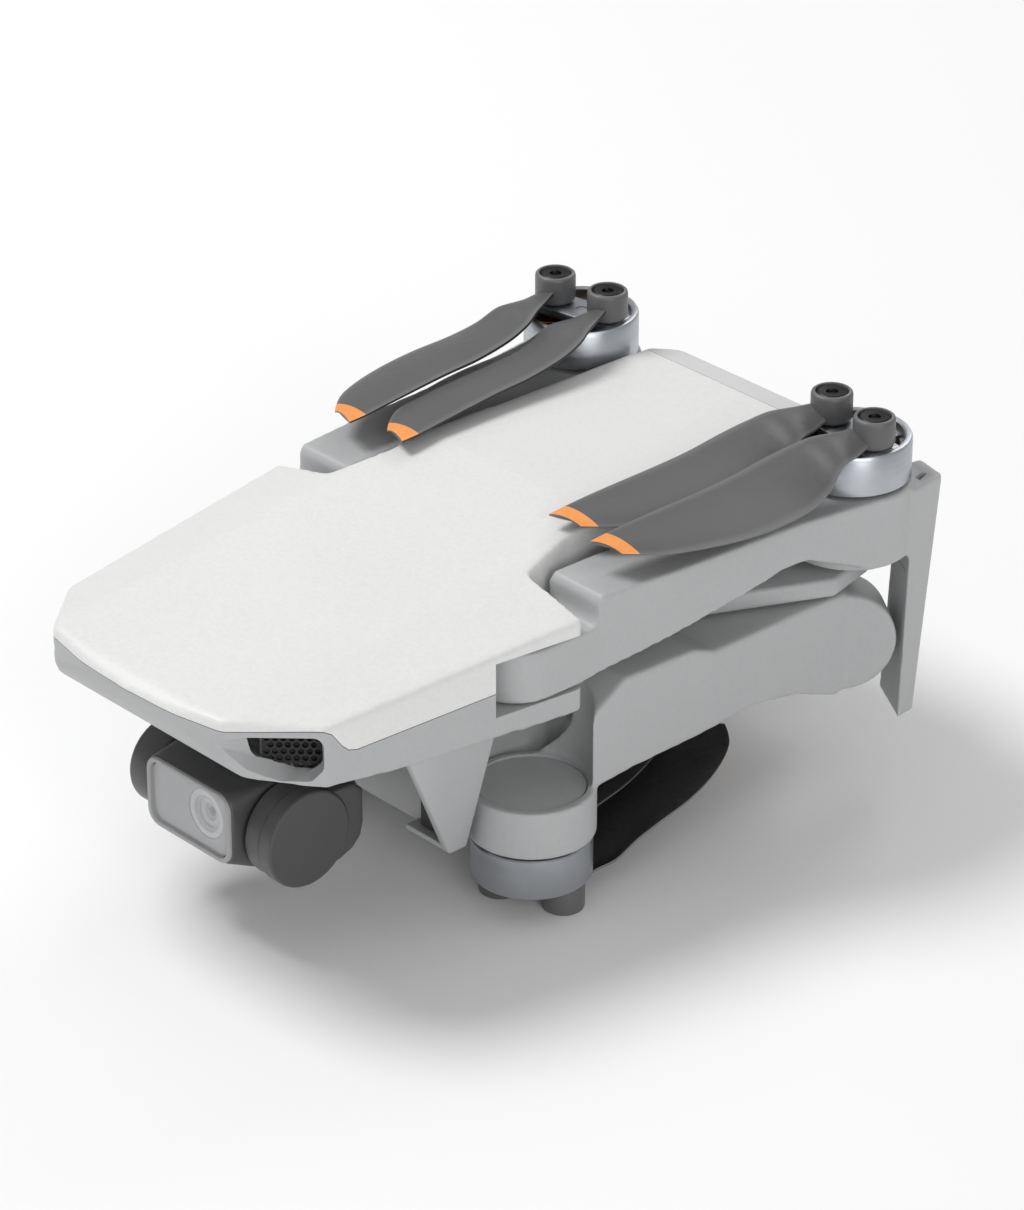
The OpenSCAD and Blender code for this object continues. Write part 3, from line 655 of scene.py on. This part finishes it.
def front_arm():
    plan = [(24, -25), (35.4, -25), (35.4, -14), (37, 0), (38.6, 26), (41, 40), (31.5, 44),
            (24, 38), (24.6, 8), (24, -14)]
    sides = [(-26, 6.5), (-17.9, 6.5), (-6.5, 8), (5.6, 9.9), (18, 12), (23, 13.2), (27.5, 13.2),
             (34, 10.6), (40, 8.2), (46, 7.9), (46, 20.2), (-13.4, 20.2), (-14.2, 19), (-14.2, 16.4),
             (-15, 15.1), (-26, 15.1)]
    beam = common(prism(plan, "z", 0, 30), prism(sides, "x", 0, 60))
    root = moved(rod(7, 6.5, 15.1), shift(*HINGE, 0))
    cup = moved(rod(CUP_R, 7.9, 20.2), shift(*FRONT_MOTOR, 0))
    arm = soften(join([beam, root, cup, leg_form()]), 0.3, 22)
    cut(arm, moved(rod(STATOR_SEAT_R, 19.2, 30), shift(*FRONT_MOTOR, 0)))
    # seam of the cover on the leg's broad face, and the small slot near its top
    seam = moved(join([box((1.0, -0.5, -19.6), (1.25, 0.45, 4.8)),
                       box((8.15, -0.5, -19.6), (8.4, 0.45, 4.8)),
                       box((1.26, -0.5, 4.55), (8.14, 0.45, 4.8)),
                       box((1.26, -0.5, -19.6), (8.14, 0.45, -19.35))]),
                 turn(150.2, "Z"), shift(41.2, 47.5, 0))
    cut(arm, seam)
    slot = moved(box((-1.4, -0.5, -0.4), (1.4, 0.5, 3)), turn(-70, "Z"), shift(38.6, 52.6, 18.9))
    cut(arm, bevel(slot, 0.2, 2))
    return arm


left_arm = front_arm()
right_arm = flip(left_arm)
deliver(left_arm, "front_left_arm_moulding", "front_left_arm_body",
        ["front_left_arm", "front_left_leg_cover"], ARM, 40)
deliver(right_arm, "front_right_arm_moulding", "front_right_arm_body",
        ["front_right_arm", "front_right_leg_cover"], ARM, 40)


def rear_arm():
    """A beam cut round the motor's axis, over a cup with a recessed disc and a fine groove."""
    plan = [(26, -16), (35, -16), (36, 10), (35.6, 30), (36, 39), (28, 44.3), (25.6, 36), (25.4, 0)]
    sides = [(-16, -13.6), (-5.7, -12.5), (7.2, -11.8), (19.3, -10.9), (29.4, -12.8), (38, -16), (46, -12),
             (46, -2), (40, 2.2), (24, 2.3), (10.5, 2.3), (6, 4), (-8, 4), (-14, 0), (-16, -4)]
    beam = common(prism(plan, "z", -20, 10), prism(sides, "x", 0, 60))
    hub = moved(rod(8.6, -3.4, 5.8), along("x"), turn(REAR_AXIS_TURN, "Z"), shift(*REAR_PIVOT))
    cup = moved(rod(CUP_R, -21.4, -13.2), shift(*REAR_MOTOR, 0))
    # the beam's lower inner edge, swept up in slices to follow the motor cup
    skirt = []
    for k in range(16):
        rise = k / 15
        left = 26 - 5.6 * (1 - math.sin(math.pi / 2 * rise))
        skirt.append(box((left, -14.5, -14 + 9 * rise), (30, -8.8, -13 + 9 * rise)))
    body_form = cut(soften(join([beam, hub, *skirt]), 0.3, 12),
                    moved(rod(9.5, -13.1, 8), shift(*REAR_MOTOR, 0)))
    arm = soften(join([body_form, cup]), 0.3, 16)
    cut(arm, moved(rod(8.9, -13.6, -9), shift(*REAR_MOTOR, 0)))
    groove = moved(cut(rod(8.7, -14, -13), rod(8.5, -15, -12)), shift(*REAR_MOTOR, 0))
    cut(arm, moved(rod(STATOR_SEAT_R, -30, -20.4), shift(*REAR_MOTOR, 0)), groove)
    return arm


left_arm = rear_arm()
right_arm = flip(left_arm)
deliver(left_arm, "rear_left_arm_moulding", "rear_left_arm_body", "rear_left_arm", ARM, 40)
deliver(right_arm, "rear_right_arm_moulding", "rear_right_arm_body", "rear_right_arm", ARM, 40)

# ---------- rotors ----------

BELL_R, BELL_H, BAR_T, PIVOT_R = 9.6, 7.0, 1.6, 5.54
POST_H, BARREL_R, BARREL_H = 4.4, 3.4, 5.1
BLADE_LEN, RAKE_FROM = 53.4, 44
FRONT_BELL_Z, FRONT_TURN = 20.7, -8.4
REAR_BELL_Z, REAR_TURN = -21.9, 21.2
# Blade sections: distance from the pin, leading and trailing edge, and the height of each
ROWS = [
    (2.6, -1.8, 2.0, 2.8, 1.4),
    (5.5, -2.6, 3.0, 2.6, 0.9),
    (9.5, -3.8, 4.6, 2.4, 0.7),
    (13, -4.6, 6.4, 1.5, -1.4),
    (18, -4.8, 8.2, 0.5, -2.7),
    (25, -4.1, 9.6, -0.5, -3.1),
    (32, -3.2, 9.9, -0.9, -3.2),
    (39, -2.6, 9.2, -1.3, -3.1),
    (45, -2.1, 7.8, -1.7, -3.0),
    (50, -1.6, 5.8, -2.1, -2.9),
    (BLADE_LEN, -1.0, 4.2, -2.3, -2.9),
]
RAKE, TIP_FROM = 2.4, 50.4


def spline(k, t):
    """A smooth curve through the rows."""
    rows = [ROWS[max(0, min(len(ROWS) - 1, k + d))] for d in (-1, 0, 1, 2)]
    out = []
    for a, b, c, d in zip(*rows):
        out.append(b + 0.5 * t * (c - a + t * (2 * a - 5 * b + 4 * c - d + t * (3 * (b - c) + d - a))))
    return out


def blade():
    rows = [spline(k, s / 5) for k in range(len(ROWS) - 1) for s in range(5)] + [list(ROWS[-1])]
    tip_row = min(range(len(rows)), key=lambda k: abs(rows[k][0] - TIP_FROM))
    across = 10
    bm = bmesh.new()
    rings = []
    for t, lead, trail, z_lead, z_trail in rows:
        pull = RAKE * max(0.0, (t - RAKE_FROM) / (BLADE_LEN - RAKE_FROM)) ** 1.5
        thick = 1.25 - 0.65 * t / BLADE_LEN
        top, low = [], []
        for s in range(across + 1):
            u = s / across
            x = lead + (trail - lead) * u
            camber = 0.55 * math.sin(math.pi * u) ** 0.8 if 0 < u < 1 else 0
            z = z_lead + (z_trail - z_lead) * u + camber
            depth = thick * (0.35 + 0.65 * math.sin(math.pi * min(1, u * 1.25 + 0.08)) if u < 0.8 else 0.35)
            y = -t + pull * u
            top.append(bm.verts.new((x, y, z)))
            low.append(bm.verts.new((x, y, z - max(0.25, depth))))
        rings.append(top + low[::-1])
    n = len(rings[0])
    for k in range(len(rings) - 1):
        for i in range(n):
            j = (i + 1) % n
            f = bm.faces.new((rings[k][i], rings[k][j], rings[k + 1][j], rings[k + 1][i]))
            painted = k >= tip_row and i < across
            # Faces of the lower skin take the darker colour that is painted shade; the tip paint is on the
            # upper skin only.
            f.material_index = 1 if painted else (2 if i > across else 0)
    for end in (0, -1):
        bm.faces.new(rings[end])
    bmesh.ops.recalc_face_normals(bm, faces=bm.faces)
    leaf = keep(bm)
    barrel = lathe([(1.55, 0.2), (2.9, 0.2), (3.25, 0.45), (BARREL_R, 0.9), (BARREL_R, 4.5),
                    (3.3, 4.9), (3.05, BARREL_H), (2.75, BARREL_H), (2.7, 5.0),
                    (2.7, POST_H - 0.05), (1.55, POST_H - 0.05)])
    whole = join([leaf, barrel])
    whole.data.materials.append(BLADE)
    whole.data.materials.append(TIP)
    whole.data.materials.append(UNDERSIDE_PAINTED_SHADE)
    return whole


def bell():
    ring = lathe([(8.35, 0), (9.35, 0), (BELL_R, 0.25), (BELL_R, BELL_H - 0.5),
                  (9.35, BELL_H - 0.1), (9.1, BELL_H), (8.6, BELL_H), (8.35, BELL_H - 0.25)], 96)
    bar = hull([(x, y, z) for x in (-8.4, 8.4) for y in (-3.3, 3.3) for z in (BELL_H - BAR_T, BELL_H)])
    bevel(bar, 0.4, 3)
    tip = cut(rod(8.9, BELL_H - BAR_T - 1, BELL_H + 1), rod(1.0, 0, 20))
    bar = common(bar, tip)
    magnets = []
    for k in range(12):
        magnets.append(moved(bevel(box((7.75, -1.6, 0.6), (8.4, 1.6, 4.9)), 0.1, 1), turn(k * 30, "Z")))
    return join([ring, bar, *magnets, rod(1.0, 0.2, BELL_H - 0.1, 0.1)])


def pins():
    out = []
    for x in (-PIVOT_R, PIVOT_R):
        head = lathe([(0, POST_H + 0.1), (0.9, POST_H + 0.1), (1.0, POST_H + 0.5), (2.2, POST_H + 0.6),
                      (2.5, POST_H + 0.4), (2.5, POST_H), (1.5, POST_H), (1.5, 0.0), (0, 0.0)])
        socket = rod(0.9, POST_H + 0.1, POST_H + 2, 0, 6)
        out.append(moved(cut(head, socket), shift(x, 0, BELL_H)))
    return join(out)


# Front rotors stand on their arms; rear rotors hang under theirs.
def front_place():
    return shift(*FRONT_MOTOR, FRONT_BELL_Z) @ turn(FRONT_TURN, "Z")


def rear_place():
    return shift(*REAR_MOTOR, REAR_BELL_Z) @ turn(REAR_TURN, "Z") @ turn(180, "X")


for end, place in (("front", front_place()), ("rear", rear_place())):
    for side in ("left", "right"):
        corner = f"{end}_{side}"

        def put(obj, name, body, node, material, sharp=32):
            moved(obj, place)
            if side == "right":
                other = flip(obj)
                drop(obj)
                obj = other
            return deliver(obj, f"{corner}_{name}", body, f"{corner}_{node}", material, sharp)

        put(bell(), "bell_turning", f"{corner}_rotor", "bell", BELL)
        put(pins(), "blade_screws", f"{corner}_rotor", "blade_pins", DARK_STEEL)
        put(moved(blade(), shift(PIVOT_R, 0, BELL_H)), "outer_blade_moulding",
            f"{corner}_outer_blade", "blade_a", None, 40)
        put(moved(blade(), shift(-PIVOT_R, 0, BELL_H)), "inner_blade_moulding",
            f"{corner}_inner_blade", "blade_b", None, 40)

# ---------- camera ----------

CAM_Y, CAM_Z = -57.3, -13.1
WINDOW_Y, WINDOW_Z, WINDOW_W, WINDOW_H = -67.0, -11.8, 18.4, 10.6
LENS_X, LENS_Z = 3.4, -11.3


def rounded(w, h, r, n=8):
    out = []
    for cx, cz, a0 in ((w / 2 - r, h / 2 - r, 0), (r - w / 2, h / 2 - r, 90), (r - w / 2, r - h / 2, 180),
                       (w / 2 - r, r - h / 2, 270)):
        for k in range(n + 1):
            a = math.radians(a0 + 90 * k / n)
            out.append((cx + r * math.cos(a), cz + r * math.sin(a)))
    return out


def window_prism(w, h, r, y0, y1):
    return moved(prism(rounded(w, h, r), "y", y0, y1), shift(0, 0, WINDOW_Z))


# Housing: a drum across the tilt axis drawn forward to the window's mouth, with its far end and pin
drum = moved(rod(7.6, -10.6, 10.6, 0.5), along("x"), shift(0, CAM_Y, CAM_Z))
mouth = window_prism(20.2, 12.2, 2.6, WINDOW_Y + 0.6, WINDOW_Y + 2.4)
points = [tuple(v.co) for o in (drum, mouth) for v in o.data.vertices]
drop(drum)
drop(mouth)
housing = soften(hull(points), 0.25, 6)
cut(housing, window_prism(WINDOW_W + 0.2, WINDOW_H + 0.2, 2.2, WINDOW_Y - 3, WINDOW_Y + 1.7))
cut(housing, moved(rod(4.3, 0, 9), along("-y"), shift(LENS_X, WINDOW_Y + 8, LENS_Z)))
far_end = moved(rod(7.4, 11.2, 17.4, 0.7), along("x"), turn(180, "Z"), shift(0, CAM_Y, CAM_Z))
neck = moved(rod(5, 10, 11.6), along("x"), turn(180, "Z"), shift(0, CAM_Y, CAM_Z))
pin = moved(rod(1.5, 10, 13.6), along("x"), shift(0, CAM_Y, CAM_Z))
weld(housing, neck, far_end, pin)
deliver(housing, "camera_housing_moulding", "camera", "camera_housing", GIMBAL, 40)

bezel = cut(window_prism(WINDOW_W + 1.5, WINDOW_H + 1.3, 2.6, WINDOW_Y + 0.15, WINDOW_Y + 1.2),
            window_prism(WINDOW_W - 0.1, WINDOW_H - 0.2, 2.0, WINDOW_Y - 1, WINDOW_Y + 3))
bevel(bezel, 0.2, 2)
deliver(bezel, "window_bezel", "camera", None, GIMBAL_LIGHT)

# Behind the clear pane, a mask plate with the lens's stepped rings showing through it; their greys are
# painted reflection of the bright surroundings
plate = cut(window_prism(WINDOW_W - 0.4, WINDOW_H - 0.5, 1.9, WINDOW_Y + 1.0, WINDOW_Y + 1.5),
            moved(rod(4.1, 0, 9), along("-y"), shift(LENS_X, WINDOW_Y + 6, LENS_Z)))
deliver(plate, "window_mask", "camera", None, MASK_PAINTED_REFLECTION)
rings = []
# The light and dim greys on these steps are painted reflection, not the lens's own colour.
ring_steps = ((4.05, 1.15, RING_PAINTED_HIGHLIGHT), (3.35, 1.5, RING_PAINTED_DIM_REFLECTION), (2.5, 1.95, RING_PAINTED_HIGHLIGHT), (1.75, 2.3, RING_PAINTED_DIM_REFLECTION))
for r, deep, material in ring_steps:
    step = lathe([(r - 0.95, deep), (r - 0.12, deep), (r, deep + 0.12),
                  (r, deep + 1.2), (r - 0.95, deep + 1.2)])
    moved(step, Matrix.Scale(-1, 4, (0, 0, 1)), along("-y"), shift(LENS_X, WINDOW_Y, LENS_Z))
    step.data.flip_normals()
    step.data.materials.append(material)
    rings.append(step)
deliver(join(rings), "lens_rings", "camera", None, None)

pane = window_prism(WINDOW_W - 0.4, WINDOW_H - 0.5, 1.9, WINDOW_Y + 0.6, WINDOW_Y + 0.85)
# Painted reflection: the pane carries a pale diffuse layer at part opacity that stands for the bright
# surroundings mirrored in the glass.
glass, tree, bsdf, co = shader("window_glass", (0.75, 0.76, 0.77), 0.05)
bsdf.inputs["Alpha"].default_value = 0.22
bsdf.inputs["Coat Weight"].default_value = 1.0
tree.links.new(ramp(tree, noise(tree, co, 30, 1), [(0.3, (0.72, 0.73, 0.74)), (0.7, (0.78, 0.79, 0.80))]),
               bsdf.inputs["Base Color"])
deliver(pane, "window_pane", "camera", "lens_window", glass)

barrel = lathe([(0, 0), (4.2, 0), (4.2, 3), (3.5, 3), (3.5, 5.6), (3.2, 5.8), (2.9, 5.6), (2.9, 4.6),
                (2.3, 4.3), (2.3, 3.6), (1.5, 3.3), (0, 3.2)])
moved(barrel, along("-y"), shift(LENS_X, WINDOW_Y + 7.8, LENS_Z))
deliver(barrel, "lens_barrel_turning", "camera", "lens_barrel", BLACK)
front_lens = lathe([(0, 4.5), (0.8, 4.42), (1.5, 4.2), (2.1, 3.85), (2.1, 3.6), (0, 3.6)])
moved(front_lens, along("-y"), shift(LENS_X, WINDOW_Y + 7.8, LENS_Z))
deliver(front_lens, "front_lens", "camera", None, LENS)

# The tilt motor's plain cap, and the arm that carries it round to the roll motor
cap = lathe([(0, 15), (7.9, 15), (8, 15.15), (8, 17.2), (7.85, 17.5), (7.6, 17.6)]
            + [(r, 17.6) for r in (6.4, 5.2, 4, 2.8, 1.6, 0.6, 0)], 96)
moved(cap, along("x"), shift(0, CAM_Y, CAM_Z))
deliver(cap, "tilt_motor_cap", "gimbal_roll", "tilt_motor", GIMBAL, 16)
side = [(CAM_Y, CAM_Z + 6.6), (-48, CAM_Z + 6), (-46.2, CAM_Z + 4.6), (-46.2, CAM_Z - 1.5),
        (-46.8, CAM_Z - 3.6), (-48.4, CAM_Z - 5.2), (-51, CAM_Z - 6.2), (CAM_Y, CAM_Z - 6.6)]
side_plate = join([prism(side, "x", 11.4, 17.2),
                   bevel(box((-6, -48.6, CAM_Z - 5), (16, -46.2, CAM_Z + 6)), 0.8, 3),
                   moved(rod(7.8, 11.4, 15), along("x"), shift(0, CAM_Y, CAM_Z))])
soften(side_plate, 0.25, 6)
cut(side_plate, moved(rod(8.05, 15, 20), along("x"), shift(0, CAM_Y, CAM_Z)),
    moved(rod(1.55, 10, 14), along("x"), shift(0, CAM_Y, CAM_Z)),
    moved(rod(1.05, 0, 6), along("-y"), shift(0, -43, CAM_Z)))
deliver(side_plate, "roll_arm_moulding", "gimbal_roll", "roll_arm", GIMBAL, 40)

# ---------- floor, light and camera ----------

FLOOR_HALF, SKY = 3.0, 0.42
LENS_MM, SENSOR_MM = 153.25, 36.0

bm = bmesh.new()
bmesh.ops.create_grid(bm, x_segments=1, y_segments=1, size=FLOOR_HALF)
floor = keep(bm, "floor")
ground, tree, bsdf, co = shader("floor_paper", (0.93, 0.93, 0.93), 0.9)
tree.links.new(
    ramp(tree, noise(tree, co, 3, 2), [(0.3, grey(0.92)), (0.7, grey(0.94))]),
    bsdf.inputs["Base Color"],
)
floor.data.materials.append(ground)

world = bpy.data.worlds.new("studio")
bpy.context.scene.world = world
world.use_nodes = True
world.node_tree.nodes["Background"].inputs["Color"].default_value = (1.0, 1.0, 1.0, 1)
world.node_tree.nodes["Background"].inputs["Strength"].default_value = SKY

centre = TO_FRAME @ Vector((0, 0, 0))


def lamp(name, azimuth, elevation, distance, size, power):
    """A round soft lamp that faces the drone; azimuth 0 is in front of the nose, 90 on the drone's left."""
    a, e = math.radians(azimuth), math.radians(elevation)
    out = Vector((math.sin(a) * math.cos(e), -math.cos(a) * math.cos(e), math.sin(e)))
    data = bpy.data.lights.new(name, "AREA")
    data.shape = "DISK"
    data.size = size
    data.energy = power
    obj = bpy.data.objects.new(name, data)
    obj.location = centre + out * distance
    obj.rotation_mode = "QUATERNION"
    obj.rotation_quaternion = (-out).to_track_quat("-Z", "Y")
    bpy.context.scene.collection.objects.link(obj)


lamp("key", -58, 58, 1.1, 0.45, 7.4)
lamp("rim", 200, 35, 1.2, 0.5, 2.0)
lamp("fill", 66, 20, 1.3, 0.8, 5.0)

CAMERA_AZ, CAMERA_EL, CAMERA_AWAY = math.radians(47.867), math.radians(27.853), 0.8212
out = Vector((
    math.sin(CAMERA_AZ) * math.cos(CAMERA_EL),
    -math.cos(CAMERA_AZ) * math.cos(CAMERA_EL),
    math.sin(CAMERA_EL),
))
camera = bpy.data.objects.new("camera", bpy.data.cameras.new("camera"))
camera.data.lens = LENS_MM
camera.data.sensor_width = SENSOR_MM
camera.data.clip_start = 0.01
camera.location = centre + out * CAMERA_AWAY
camera.rotation_mode = "QUATERNION"
camera.rotation_quaternion = (-out).to_track_quat("-Z", "Y")
bpy.context.scene.collection.objects.link(camera)
bpy.context.scene.camera = camera
bpy.context.scene.view_settings.view_transform = "Standard"
